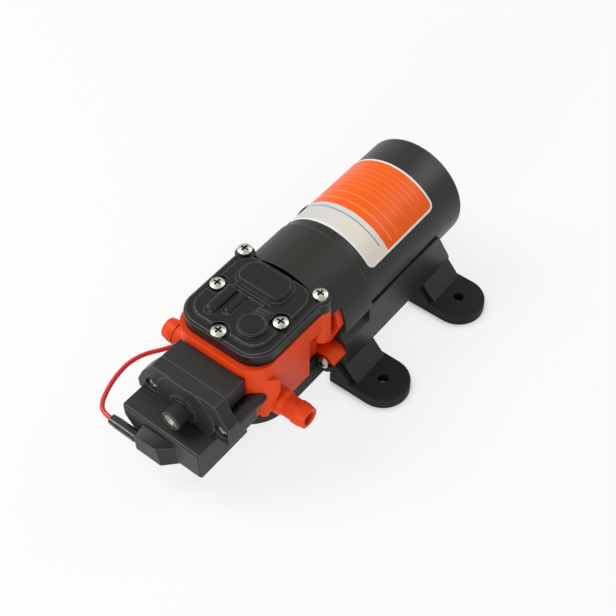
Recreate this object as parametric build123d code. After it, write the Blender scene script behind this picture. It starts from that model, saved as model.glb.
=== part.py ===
from build123d import *
import math
import os

# Diaphragm water pump for a caravan, lying on four rubber feet. Millimetres.
# X runs along the motor, closed end at +X. Z is up from the floor. The head stands at -X.
os.makedirs("parts", exist_ok=True)

# Driving dimensions of the whole pump
REAR_X = 82.5
AXIS_Z = 36.0
CAN_R = 24.2
CAN_WALL = 1.6
SHROUD_R = 25.2
SHROUD_LEN = 17.2
JOINT_X = 0.0
SKIRT_Z = 12.4
HEAD_TOP_Z = 52.9
HEAD_BASE_Z = 22.3
HEAD_FRONT_X = -49.8
HEAD_HALF_W = 21.6
CRANK_X = -30.5
THROW = 1.6
FOOT_FRONT_X = 8.8
FOOT_PITCH_X = 55.4
FOOT_PITCH_Y = 75.6
FOOT_HOLE_R = 2.4
PAD_H = 5.3
SHAFT_R = 2.5
PORT_X = -37.5
PORT_Z = 27.7
PORT_TIP_Y = 36.1
SWITCH_BASE_T = 10.2
LEAD_R = 1.0

# Clearances and one overrun for every cut
GAP = 0.1
RUN = 0.04
SEAT = 0.3
OVER = 1.0

# Places of the screws: five in the cover, two in the flange, two in the switch
EAR_X = -8.1
EAR_Y = 18.6
SIDE_X = -27.8
SIDE_Y = 15.5
NOSE_X = -45.0
COVER_SCREWS = [(EAR_X, EAR_Y), (EAR_X, -EAR_Y), (SIDE_X, SIDE_Y), (SIDE_X, -SIDE_Y), (NOSE_X, 0)]
FLANGE_SCREW_X = -8.0
FLANGE_SCREW_Y = 20.2
FLANGE_SCREW_Z = 20.4
SWITCH_SCREW_Y = 17.4
SWITCH_SCREW_Z = 35.1
SCREW_R = 1.5
SCREW_HEAD_R = 2.95
SCREW_HEAD_H = 2.2
BOTH = (-1, 1)


def box(x0, x1, y0, y1, z0, z1):
    middle = Pos((x0 + x1) / 2, (y0 + y1) / 2, (z0 + z1) / 2)
    return middle * Box(abs(x1 - x0), abs(y1 - y0), abs(z1 - z0))


def rod_x(r, x0, x1, y, z):
    return Pos((x0 + x1) / 2, y, z) * Rot(0, 90, 0) * Cylinder(r, abs(x1 - x0))


def rod_y(r, y0, y1, x, z):
    return Pos(x, (y0 + y1) / 2, z) * Rot(90, 0, 0) * Cylinder(r, abs(y1 - y0))


def rod_z(r, z0, z1, x, y):
    return Pos(x, y, (z0 + z1) / 2) * Cylinder(r, abs(z1 - z0))


def prism_x(points, x0, x1):
    # Points are (y, z) pairs
    return extrude(Plane.YZ.offset(x0) * Polygon(*points, align=None), x1 - x0, dir=(1, 0, 0))


def prism_z(outline, z0, z1):
    return extrude(Plane.XY.offset(z0) * outline, z1 - z0, dir=(0, 0, 1))


def turned_x(points, y=0, z=AXIS_Z):
    # Points are (x, radius) pairs round a line along X
    frame = Plane(origin=(0, y, z), x_dir=(1, 0, 0), z_dir=(0, -1, 0))
    return revolve(frame * Polygon(*points, align=None), Axis((0, y, z), (1, 0, 0)), 360)


def turned_z(points, x, y):
    # Points are (radius, z) pairs round an upright line
    frame = Plane(origin=(x, y, 0), x_dir=(1, 0, 0), z_dir=(0, -1, 0))
    return revolve(frame * Polygon(*points, align=None), Axis((x, y, 0), (0, 0, 1)), 360)


def turned_y(points, side, x, z):
    # Points are (distance from the middle plane, radius) pairs, on the side asked for
    frame = Plane(origin=(x, 0, z), x_dir=(0, side, 0), z_dir=(side, 0, 0))
    return revolve(frame * Polygon(*points, align=None), Axis((x, 0, z), (0, 1, 0)), 360)


def rounded_plan(x0, x1, half_w, front_r, rear_r):
    sheet = Pos((x0 + x1) / 2, 0) * Rectangle(x1 - x0, half_w + half_w)
    corners = sheet.vertices().sort_by(Axis.X)
    sheet = fillet(corners[:2], front_r)
    return fillet(sheet.vertices().sort_by(Axis.X)[-2:], rear_r)


def write(node, solid):
    solids = solid.solids()
    shape = solids[0] if len(solids) == 1 else Compound(children=list(solids))
    export_step(shape, f"parts/{node}.step")


# Motor can: drawn steel cup with a raised rim and bearing boss at the closed end
CAN_X = JOINT_X + SHROUD_LEN + GAP
CAN_EDGE = 1.9
END_RING_DEPTH = 0.8
END_RING_IN = 9.5
END_RING_OUT = 19.0
BUSH_R = 5.0
BUSH_LEN = 4.4
CUP_WALL = 1.3
CAN_IN_R = CAN_R - CAN_WALL
REAR_WALL_X = REAR_X - CAN_WALL
OUTLET_ANGLE = 92.0
OUTLET_RADIUS = 27.0
OUTLET_X = 25.2
OUTLET_LEN = 10.2
OUTLET_R = 2.3
OUTLET_END_R = 1.35
OUTLET_Y = OUTLET_RADIUS * math.sin(math.radians(OUTLET_ANGLE))
OUTLET_Z = AXIS_Z + OUTLET_RADIUS * math.cos(math.radians(OUTLET_ANGLE))


def motor_can():
    cup = rod_x(CAN_R, CAN_X, REAR_X, 0, AXIS_Z)
    cup = fillet(cup.edges().filter_by(GeomType.CIRCLE).sort_by(Axis.X)[-1:], CAN_EDGE)
    cup -= rod_x(CAN_IN_R, CAN_X - OVER, REAR_WALL_X - END_RING_DEPTH, 0, AXIS_Z)
    ring_x = REAR_X - END_RING_DEPTH
    cup -= turned_x([(ring_x, END_RING_IN), (REAR_X + OVER, END_RING_IN),
                     (REAR_X + OVER, END_RING_OUT), (ring_x, END_RING_OUT)])
    seat_x = REAR_WALL_X - END_RING_DEPTH
    cup += turned_x([(seat_x - BUSH_LEN, BUSH_R), (seat_x, BUSH_R),
                     (seat_x, BUSH_R + CUP_WALL), (seat_x - BUSH_LEN, BUSH_R + CUP_WALL)])
    return cup


# Label: a thin wrap over the top of the can, square to the axis, corners rounded
LABEL_X0 = 21.2
LABEL_X1 = 65.1
LABEL_HALF_ANGLE = 58.0
LABEL_T = 0.25
LABEL_CORNER = 3.2
GLUE = 0.05


def motor_label():
    low = CAN_R + GLUE
    frame = Plane(origin=(0, 0, AXIS_Z), x_dir=(1, 0, 0), z_dir=(0, -1, 0))
    strip = [(LABEL_X0, low), (LABEL_X1, low), (LABEL_X1, low + LABEL_T), (LABEL_X0, low + LABEL_T)]
    axis = Axis((0, 0, AXIS_Z), (1, 0, 0))
    wrap = revolve(frame * Polygon(*strip, align=None), axis, LABEL_HALF_ANGLE + LABEL_HALF_ANGLE)
    wrap = wrap.rotate(axis, -LABEL_HALF_ANGLE)
    corners = [e for e in wrap.edges() if e.length < LABEL_T + LABEL_T]
    return fillet(corners, LABEL_CORNER)


# Motor base: one moulding of the shroud ring, the crown over the head, the trough and the legs
SHROUD_WALL = 3.0
SHROUD_BORE_R = 20.5
END_PLATE_T = 2.0
NOSE_R = 9.8
NOSE_LEN = 6.0
BEARING_R = 8.0
BEARING_W = 5.0
CROWN_LEN = 7.4
TROUGH_TOP_Z = 34.6
TROUGH_RAKE = 10.0
TROUGH_R = 26.2
SKIRT_WALL = 2.0
LEG_BEFORE = 8.8
LEG_AFTER = 9.9
TROUGH_END_X = FOOT_FRONT_X + FOOT_PITCH_X + LEG_AFTER
LEG_FOOT_Y = 31.4
LEG_WALL = 2.2
LEG_TOP = 2.0
POCKET_R = 4.0
POCKET_Y = 26.5
POCKET_Z = 30.5
POCKET_LEN = 15.5
SEAM_W = 0.5
EAR_R = 4.1
FIN_TOP_Z = 47.5
NECK_HALF_W = 14.5
FOOT_IN_Y = 19.0
FLANGE_SCREW_DEPTH = 9.0
BEARING_X = JOINT_X - NOSE_LEN + SEAM_W
FOOT_XS = (FOOT_FRONT_X, FOOT_FRONT_X + FOOT_PITCH_X)


def leg(x0, x1, side):
    inner = SHROUD_R - LEG_WALL
    sloped = [(inner, SKIRT_Z + LEG_TOP), (SHROUD_R, SKIRT_Z + LEG_TOP), (SHROUD_R, SKIRT_Z),
              (LEG_FOOT_Y, PAD_H), (LEG_FOOT_Y - LEG_WALL, PAD_H), (inner, SKIRT_Z)]
    root = FOOT_IN_Y - LEG_TOP / 2
    web = [(inner, SKIRT_Z + LEG_TOP), (SHROUD_R, SKIRT_Z), (LEG_FOOT_Y, PAD_H), (root, PAD_H),
           (root, SKIRT_Z + LEG_TOP)]
    plate = prism_x([(side * y, z) for y, z in sloped], x0, x1)
    return plate + prism_x([(side * y, z) for y, z in web], x1 - LEG_WALL, x1)


def rear_rake():
    # The end of the trough leans forward above the legs; points are (x, z) pairs
    low = SKIRT_Z + LEG_TOP
    lean = [(TROUGH_END_X, low), (TROUGH_END_X + OVER, low), (TROUGH_END_X + OVER, TROUGH_TOP_Z + OVER),
            (TROUGH_END_X - TROUGH_RAKE, TROUGH_TOP_Z + OVER), (TROUGH_END_X - TROUGH_RAKE, TROUGH_TOP_Z)]
    frame = Plane(origin=(0, SHROUD_R + OVER, 0), x_dir=(1, 0, 0), z_dir=(0, -1, 0))
    width = SHROUD_R + SHROUD_R + OVER + OVER
    return extrude(frame * Polygon(*lean, align=None), width, dir=(0, -1, 0))


def motor_base():
    rear = JOINT_X + SHROUD_LEN
    arch = rod_x(SHROUD_R, JOINT_X, rear, 0, AXIS_Z)
    body = arch + box(JOINT_X, rear, -SHROUD_R, SHROUD_R, SKIRT_Z, AXIS_Z)
    body -= rod_x(SHROUD_BORE_R, JOINT_X + SHROUD_WALL, rear - END_PLATE_T, 0, AXIS_Z)
    body -= rod_x(CAN_IN_R, rear - END_PLATE_T, rear + OVER, 0, AXIS_Z)
    keep = box(JOINT_X, TROUGH_END_X, -SHROUD_R, SHROUD_R, 0, TROUGH_TOP_Z)
    trough = rod_x(TROUGH_R, JOINT_X, TROUGH_END_X, 0, AXIS_Z) & keep
    trough += box(JOINT_X, TROUGH_END_X, -SHROUD_R, SHROUD_R, SKIRT_Z, TROUGH_TOP_Z)
    for side in BOTH:
        hollow = box(rear + SKIRT_WALL, TROUGH_END_X + OVER, side * FOOT_IN_Y,
                     side * (SHROUD_R - SKIRT_WALL), SKIRT_Z - OVER, TROUGH_TOP_Z - SKIRT_WALL)
        trough -= hollow - rod_x(TROUGH_R, JOINT_X, TROUGH_END_X + OVER, 0, AXIS_Z)
    trough -= rod_x(CAN_R + GAP, JOINT_X - OVER, TROUGH_END_X + OVER, 0, AXIS_Z)
    trough -= box(OUTLET_X - SEAT, OUTLET_X + OUTLET_LEN + SEAT, CAN_R - SEAT, SHROUD_R + OVER,
                  OUTLET_Z - OUTLET_R - SEAT, TROUGH_TOP_Z + OVER)
    body += trough - rear_rake()
    body -= rod_x(SHROUD_BORE_R, JOINT_X + SHROUD_WALL, rear - END_PLATE_T, 0, AXIS_Z)
    crown = rod_x(SHROUD_R, JOINT_X - CROWN_LEN, JOINT_X, 0, AXIS_Z)
    crown &= box(JOINT_X - CROWN_LEN, JOINT_X, -SHROUD_R, SHROUD_R, FIN_TOP_Z + SEAT, HEAD_TOP_Z + SHROUD_R)
    crown -= box(JOINT_X - CROWN_LEN, JOINT_X, -NECK_HALF_W - SEAT, NECK_HALF_W + SEAT, FIN_TOP_Z, HEAD_TOP_Z + SEAT)
    for side in BOTH:
        crown -= rod_z(EAR_R + SEAT, FIN_TOP_Z, HEAD_TOP_Z + SHROUD_R, EAR_X, side * EAR_Y)
    body += crown.solids().sort_by(SortBy.VOLUME)[-1]
    body += rod_x(NOSE_R, JOINT_X - NOSE_LEN, JOINT_X + SHROUD_WALL, 0, AXIS_Z)
    body -= rod_x(BEARING_R, JOINT_X - NOSE_LEN - OVER, BEARING_X + BEARING_W, 0, AXIS_Z)
    body -= rod_x(BEARING_R - SEAM_W - SEAM_W, BEARING_X, JOINT_X + SHROUD_WALL + OVER, 0, AXIS_Z)
    for x in FOOT_XS:
        for side in BOTH:
            body += leg(x - LEG_BEFORE, x + LEG_AFTER, side)
    for side in BOTH:
        body -= rod_x(POCKET_R, JOINT_X - OVER, JOINT_X + POCKET_LEN, side * POCKET_Y, POCKET_Z)
        body -= rod_x(SCREW_R, JOINT_X - OVER, JOINT_X + FLANGE_SCREW_DEPTH, side * FLANGE_SCREW_Y, FLANGE_SCREW_Z)
    seam = turned_x([(rear - SEAM_W, SHROUD_R - SEAM_W), (rear, SHROUD_R - SEAM_W),
                     (rear, SHROUD_R + OVER), (rear - SEAM_W, SHROUD_R + OVER)])
    seam &= box(JOINT_X, rear, -SHROUD_R - OVER, SHROUD_R + OVER, AXIS_Z, AXIS_Z + SHROUD_R + OVER)
    return body - seam


# Rubber feet: a round-ended tongue with a screw hole and a block that fills the hollow leg
FOOT_HALF_W = 11.4
FOOT_EDGE = 0.9


def rubber_foot(x, side):
    half = FOOT_PITCH_Y / 2
    tongue = box(x - FOOT_HALF_W, x + FOOT_HALF_W, side * FOOT_IN_Y, side * half, 0, PAD_H)
    tongue += rod_z(FOOT_HALF_W, 0, PAD_H, x, side * half)
    tongue = fillet(tongue.edges().group_by(Axis.Z)[-1].filter_by(GeomType.CIRCLE), FOOT_EDGE)
    slack = LEG_WALL + SEAT
    fill = [(FOOT_IN_Y, PAD_H), (LEG_FOOT_Y - slack - SEAT, PAD_H), (SHROUD_R - slack - SEAT, SKIRT_Z - SEAT),
            (FOOT_IN_Y, SKIRT_Z - SEAT)]
    block = prism_x([(side * y, z) for y, z in fill], x - FOOT_HALF_W, x + LEG_AFTER - slack)
    return tongue + block - rod_z(FOOT_HOLE_R, -OVER, PAD_H + OVER, x, side * half)


def rubber_feet():
    return Compound(children=[rubber_foot(x, side) for x in FOOT_XS for side in BOTH])


# Crankcase: black tub under the head, round at the front, with half bosses for the flange screws
TUB_R = 18.7
TUB_BASE_Z = 8.7
TUB_WALL = 2.4
TUB_EDGE = 2.4
BOSS_R = 4.8
BOSS_LIP = 1.4
ACCESS_LEN = 9.5


def crankcase():
    top = HEAD_BASE_Z - GAP
    tub = rod_z(TUB_R, TUB_BASE_Z, top, CRANK_X, 0)
    tub += box(CRANK_X, JOINT_X - GAP, -TUB_R, TUB_R, TUB_BASE_Z, top)
    tub = fillet(tub.edges().group_by(Axis.Z)[0], TUB_EDGE)
    inner = TUB_R - TUB_WALL
    tub -= rod_z(inner, TUB_BASE_Z + TUB_WALL, top + OVER, CRANK_X, 0)
    tub -= box(CRANK_X, JOINT_X - TUB_WALL, -inner, inner, TUB_BASE_Z + TUB_WALL, top + OVER)
    for side in BOTH:
        lip_x = FLANGE_SCREW_X - BOSS_LIP
        boss = rod_x(BOSS_R, lip_x, JOINT_X - GAP, side * FLANGE_SCREW_Y, FLANGE_SCREW_Z)
        boss += box(lip_x, JOINT_X - GAP, side * inner, side * FLANGE_SCREW_Y, FLANGE_SCREW_Z - BOSS_R, FLANGE_SCREW_Z)
        tub += boss & box(lip_x, JOINT_X, side * inner, side * (FLANGE_SCREW_Y + BOSS_R), 0, FLANGE_SCREW_Z - GAP)
    for side in BOTH:
        tub -= rod_x(SCREW_R + GAP, FLANGE_SCREW_X - OVER, JOINT_X + OVER, side * FLANGE_SCREW_Y, FLANGE_SCREW_Z)
        tub -= rod_x(SCREW_HEAD_R + GAP, FLANGE_SCREW_X - ACCESS_LEN, FLANGE_SCREW_X, side * FLANGE_SCREW_Y,
                     FLANGE_SCREW_Z)
    return tub


# Pump body: the orange housing with two hose barbs, screw columns, flange and the crank chamber
CORNER_R = 10.5
CHAMBER_R = 11.2
PASSAGE_R = 10.0
FLANGE_T = 3.2
FLANGE_R = 24.0
FLANGE_KNEE_Z = 39.0
FLANGE_FOOT_Y = 17.5
DIAPHRAGM_R = 12.6
DIAPHRAGM_T = 1.4
DIAPHRAGM_Z = 45.9
PLATE_X0 = -46.2
PLATE_X1 = -12.6
PLATE_HALF_W = 18.2
PLATE_CORNER = 7.0
PORT_BORE_R = 3.0
DUCT_R = 1.9
DUCT_Y = 16.0
TAP_R = 1.2
TAP_X = -46.4
TAP_Z = 36.0
COLUMN_DEPTH = 14.0
COLLAR_R = 5.4
COLLAR_Y = 24.4
HOSE_NECK_R = 4.6
HOSE_NECK_Y = 25.6
BARB_Y = 30.6
BARB_R = 5.0
BARB_TIP_R = 4.4
BARB_FLAT = 2.4
SHOULDER_Z = 45.6
DRAFT = 0.8
LOW_CORNER_R = 13.0
FACET_Z = 45.0
FACET_LOW_Z = 38.0
FACET_BACK = 0.9
FACET_FRONT_Y = 15.3
FACET_SIDE_X = -39.7
FACET_OUT_Y = 24.5
FACET_NIP = 1.9
FACET_TIP = 0.8
COLUMN_FOOT_Z = 35.5
SCOOP_R = 8.4
SCOOP_X = -10.6
SCOOP_Y = 24.6
SCOOP_TOP_Z = 43.6


def barb(side):
    root = HEAD_HALF_W - PORT_BORE_R
    shape = [(root, 0), (root, COLLAR_R), (COLLAR_Y, COLLAR_R), (HOSE_NECK_Y, HOSE_NECK_R), (BARB_Y, HOSE_NECK_R),
             (BARB_Y, BARB_R), (BARB_Y + BARB_FLAT, BARB_R), (PORT_TIP_Y, BARB_TIP_R), (PORT_TIP_Y, 0)]
    return turned_y(shape, side, PORT_X, PORT_Z)


def facet(side):
    # Kite-shaped flat across the corner: full width between two heights, then down to a tip at the base
    x0, y0 = HEAD_FRONT_X + FACET_BACK, FACET_FRONT_Y
    x1, y1 = FACET_SIDE_X, FACET_OUT_Y
    mid_x, mid_y = (x0 + x1) / 2, (y0 + y1) / 2
    plans = {
        HEAD_BASE_Z: [(mid_x - FACET_TIP, mid_y - FACET_TIP), (mid_x + FACET_TIP, mid_y + FACET_TIP),
                      (mid_x + FACET_TIP, mid_y - FACET_TIP)],
        FACET_LOW_Z: [(x0, y0), (x1, y1), (x1, y0)],
        FACET_Z: [(x0 + FACET_NIP, y0 + FACET_NIP), (x1, y1), (x1, y0 + FACET_NIP)],
    }
    rings = [Plane.XY.offset(z) * Polygon(*[(x, side * y) for x, y in plan], align=None) for z, plan in plans.items()]
    return loft(rings[:2], ruled=True) + loft(rings[1:], ruled=True)


def head_blank():
    # Square-shouldered block whose walls draw in and whose corners round off towards the base
    plan = rounded_plan(HEAD_FRONT_X, EAR_X, HEAD_HALF_W, CORNER_R, SEAM_W)
    base = rounded_plan(HEAD_FRONT_X, EAR_X, HEAD_HALF_W - DRAFT, LOW_CORNER_R, SEAM_W)
    blank = prism_z(plan, SHOULDER_Z, HEAD_TOP_Z)
    blank += loft([Plane.XY.offset(HEAD_BASE_Z) * base, Plane.XY.offset(SHOULDER_Z) * plan], ruled=True)
    for side in BOTH:
        blank += facet(side)
        blank -= rod_z(SCOOP_R, HEAD_BASE_Z - OVER, SCOOP_TOP_Z, SCOOP_X, side * SCOOP_Y)
    return blank


def plate_plan(slack):
    return rounded_plan(PLATE_X0 + slack, PLATE_X1 - slack, PLATE_HALF_W - slack, PLATE_CORNER, SEAM_W + SEAM_W)


def pump_body():
    body = head_blank() + box(EAR_X, JOINT_X, -NECK_HALF_W, NECK_HALF_W, HEAD_BASE_Z, HEAD_TOP_Z)
    knee = FLANGE_R * math.cos(math.asin((FLANGE_KNEE_Z - AXIS_Z) / FLANGE_R))
    sheet = [(-FLANGE_FOOT_Y, HEAD_BASE_Z), (FLANGE_FOOT_Y, HEAD_BASE_Z), (knee, FLANGE_KNEE_Z),
             (knee, FIN_TOP_Z), (-knee, FIN_TOP_Z), (-knee, FLANGE_KNEE_Z)]
    flange = prism_x(sheet, JOINT_X - FLANGE_T, JOINT_X)
    body += flange & rod_x(FLANGE_R, JOINT_X - FLANGE_T, JOINT_X, 0, AXIS_Z)
    tub = box(CRANK_X, JOINT_X + OVER, -TUB_R - GAP, TUB_R + GAP, 0, HEAD_BASE_Z)
    for side in BOTH:
        body += rod_z(EAR_R, COLUMN_FOOT_Z, HEAD_TOP_Z, EAR_X, side * EAR_Y)
        hood = rod_x(BOSS_R, FLANGE_SCREW_X, JOINT_X, side * FLANGE_SCREW_Y, FLANGE_SCREW_Z)
        hood &= box(FLANGE_SCREW_X, JOINT_X, side * NECK_HALF_W, side * (FLANGE_SCREW_Y + BOSS_R),
                    FLANGE_SCREW_Z, HEAD_TOP_Z)
        skirt = box(FLANGE_SCREW_X, JOINT_X, side * NECK_HALF_W, side * FLANGE_SCREW_Y, HEAD_BASE_Z,
                    FLANGE_SCREW_Z + BOSS_R)
        body += hood + skirt - tub
        body += barb(side)
    body -= rod_z(CHAMBER_R, HEAD_BASE_Z - OVER, HEAD_TOP_Z, CRANK_X, 0)
    body -= rod_x(PASSAGE_R, CRANK_X, JOINT_X + OVER, 0, AXIS_Z)
    rim = DIAPHRAGM_Z + DIAPHRAGM_T
    body -= rod_z(DIAPHRAGM_R + GAP, DIAPHRAGM_Z, rim, CRANK_X, 0)
    body -= prism_z(plate_plan(0), rim, HEAD_TOP_Z + OVER)
    for side in BOTH:
        body -= rod_y(PORT_BORE_R, side * (DUCT_Y - PORT_BORE_R), side * (PORT_TIP_Y + OVER), PORT_X, PORT_Z)
        body -= rod_z(DUCT_R, PORT_Z, rim + OVER, PORT_X, side * DUCT_Y)
        bolt = rod_x(SCREW_R + GAP, FLANGE_SCREW_X - OVER, JOINT_X + OVER, side * FLANGE_SCREW_Y, FLANGE_SCREW_Z)
        stud = rod_x(SCREW_R + GAP, HEAD_FRONT_X - CORNER_R, SWITCH_SCREW_END_X - GAP, side * SWITCH_SCREW_Y,
                     SWITCH_SCREW_Z)
        body -= bolt + stud
    body -= rod_x(TAP_R, TAP_X, PORT_X, -DUCT_Y, TAP_Z)
    body -= rod_y(TAP_R, -DUCT_Y - TAP_R, TAP_R, TAP_X, TAP_Z)
    body -= rod_x(TAP_R, HEAD_FRONT_X - OVER, TAP_X, 0, TAP_Z)
    for x, y in COVER_SCREWS:
        body -= rod_z(SCREW_R + GAP, HEAD_TOP_Z - COLUMN_DEPTH, HEAD_TOP_Z + OVER, x, y)
    return body


# Working parts of the head: diaphragm, connecting rod, clamp, valve plate and two flap valves
ROD_RING_R = 8.0
ROD_BEARING_R = 6.5
ROD_W = 5.0
ROD_NECK = 5.0
CLAMP_R = 4.4
CLAMP_T = 1.4
ROD_HEAD_T = 1.2
CLAMP_SCREW_R = 1.2
CLAMP_HEAD_R = 2.2
CLAMP_SCREW_LEN = 5.6
CONTACT = 0.05
FLEX_R = 10.6
RECESS_Z = 50.9
VALVE_R = 2.2
VALVE_T = 0.75
VALVE_Y = 7.9
VALVE_STEM_R = 0.45
VALVE_HEAD_R = 0.75
VALVE_HEAD_T = 0.7
VALVE_LIFT = 0.4
VALVE_HOLE_R = 0.55
VALVE_HOLES_AT = 1.35
ROD_LOW_Z = AXIS_Z - THROW
REST_Z = DIAPHRAGM_Z - THROW
RIM_Z = DIAPHRAGM_Z + DIAPHRAGM_T


def diaphragm():
    hole = CLAMP_SCREW_R + GAP
    top = REST_Z + DIAPHRAGM_T
    section = [(hole, REST_Z), (CLAMP_R + SEAT, REST_Z), (FLEX_R, DIAPHRAGM_Z), (DIAPHRAGM_R, DIAPHRAGM_Z),
               (DIAPHRAGM_R, RIM_Z), (FLEX_R, RIM_Z), (CLAMP_R + SEAT, top), (hole, top)]
    return turned_z(section, CRANK_X, 0)


def connecting_rod():
    head_z = REST_Z - CONTACT - ROD_HEAD_T
    ring = rod_x(ROD_RING_R, CRANK_X - ROD_W / 2, CRANK_X + ROD_W / 2, 0, ROD_LOW_Z)
    neck = box(CRANK_X - ROD_W / 2, CRANK_X + ROD_W / 2, -ROD_NECK, ROD_NECK, ROD_LOW_Z, head_z + ROD_HEAD_T / 2)
    rod = ring + neck + rod_z(CLAMP_R, head_z, head_z + ROD_HEAD_T, CRANK_X, 0)
    rod -= rod_x(ROD_BEARING_R, CRANK_X - ROD_W, CRANK_X + ROD_W, 0, ROD_LOW_Z)
    return rod - rod_z(CLAMP_SCREW_R, head_z - CLAMP_SCREW_LEN, REST_Z, CRANK_X, 0)


def clamp_disc():
    low = REST_Z + DIAPHRAGM_T + CONTACT
    hole = CLAMP_SCREW_R + GAP
    section = [(hole, low), (CLAMP_R, low), (CLAMP_R, low + CLAMP_T), (CLAMP_HEAD_R + CONTACT, low + CLAMP_T),
               (hole, low + CLAMP_T - CLAMP_HEAD_R + CLAMP_SCREW_R)]
    return turned_z(section, CRANK_X, 0)


def clamp_screw():
    top = REST_Z + DIAPHRAGM_T + CONTACT + CLAMP_T
    shank = CLAMP_SCREW_R - CONTACT
    section = [(0, top), (CLAMP_HEAD_R - CONTACT, top), (shank, top - CLAMP_HEAD_R + CLAMP_SCREW_R),
               (shank, top - CLAMP_SCREW_LEN), (0, top - CLAMP_SCREW_LEN)]
    return turned_z(section, CRANK_X, 0)


def valve_plate():
    plate = prism_z(plate_plan(GAP), RIM_Z, HEAD_TOP_Z)
    plate -= rod_z(FLEX_R, RIM_Z - OVER, RECESS_Z, CRANK_X, 0)
    for side in BOTH:
        plate -= rod_z(VALVE_STEM_R + RUN, RIM_Z, HEAD_TOP_Z + OVER, CRANK_X, side * VALVE_Y)
        plate -= rod_z(DUCT_R, RIM_Z - OVER, HEAD_TOP_Z + OVER, PORT_X, side * DUCT_Y)
        for spot in PolarLocations(VALVE_HOLES_AT, 3):
            plate -= Pos(CRANK_X, side * VALVE_Y, HEAD_TOP_Z) * spot * Cylinder(VALVE_HOLE_R, HEAD_TOP_Z - RIM_Z)
    for x, y in COVER_SCREWS[2:]:
        plate -= rod_z(SCREW_R + GAP, RIM_Z - OVER, HEAD_TOP_Z + OVER, x, y)
    return plate


def flap_valve(face_z, away, side):
    # Disc on its seat at face_z, stem through the plate, bulb that stops the lift; away is the opening way
    tail = face_z - away * (HEAD_TOP_Z - RECESS_Z + CONTACT + VALVE_LIFT + CONTACT)
    section = [(0, face_z + away * VALVE_T), (VALVE_R, face_z + away * VALVE_T), (VALVE_R, face_z),
               (VALVE_STEM_R, face_z), (VALVE_STEM_R, tail), (VALVE_HEAD_R, tail),
               (VALVE_STEM_R, tail - away * VALVE_HEAD_T), (0, tail - away * VALVE_HEAD_T)]
    return turned_z(section, CRANK_X, side * VALVE_Y)


# Top cover: flange, raised plateau with bays round the screws, D-shaped pad, ridges and a round boss
COVER_X0 = -47.3
COVER_X1 = -7.7
COVER_HALF_W = 21.0
COVER_CORNER = 10.0
COVER_T = 6.2
FLANGE_TOP_Z = HEAD_TOP_Z + COVER_T
PLATEAU_RISE = 1.3
PLATEAU_Z = FLANGE_TOP_Z + PLATEAU_RISE
PLATEAU_EDGE = 0.5
PLATEAU_IN = 3.4
PLATEAU_CORNER = 7.5
BAY_R = 4.4
PAD_RISE = 3.2
PAD_TOP_Z = FLANGE_TOP_Z + PAD_RISE
COVER_EDGE = 0.9
D_X0 = -22.0
D_X1 = -10.6
D_Y0 = -9.6
D_Y1 = 11.8
D_FRONT_R = 3.4
D_REAR_R = 5.2
STEP_W = 1.3
RIDGE_W = 0.6
RIDGE_H = 0.7
RIDGE_STEP = 1.5
TUBE_RISE = 0.7
TUBE_R = 2.8
TUBE_Y = 9.1
TUBE_Z = FLANGE_TOP_Z + TUBE_RISE
TUBE_X0 = -38.6
THIN_TUBE_R = 2.1
THIN_TUBE_Y = 3.6
THIN_TUBE_X0 = -35.5
DOME_X = -35.7
DOME_Y = -8.4
DOME_R = 5.9
DOME_RIM = 1.1
DOME_RISE = 1.4
DISH = 0.4
LINK_HALF_W = 3.4
SHORT_RIB_LEN = 5.5
CELL_X0 = -43.0
CELL_X1 = -15.0
CELL_Y0 = 1.0
CELL_Y1 = 16.6
CELL_ROOF = 1.3
CELL_TOP_Z = FLANGE_TOP_Z - CELL_ROOF
CELL_POST_R = 3.3
SEAL_T = 0.6


def cover_cell(side, low, high):
    cell = box(CELL_X0, CELL_X1, side * CELL_Y0, side * CELL_Y1, low, high)
    corner = rod_z(CELL_POST_R + SEAT, low, high, NOSE_X, 0)
    return cell - rod_z(CELL_POST_R, low, high, SIDE_X, side * SIDE_Y) - corner


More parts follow.
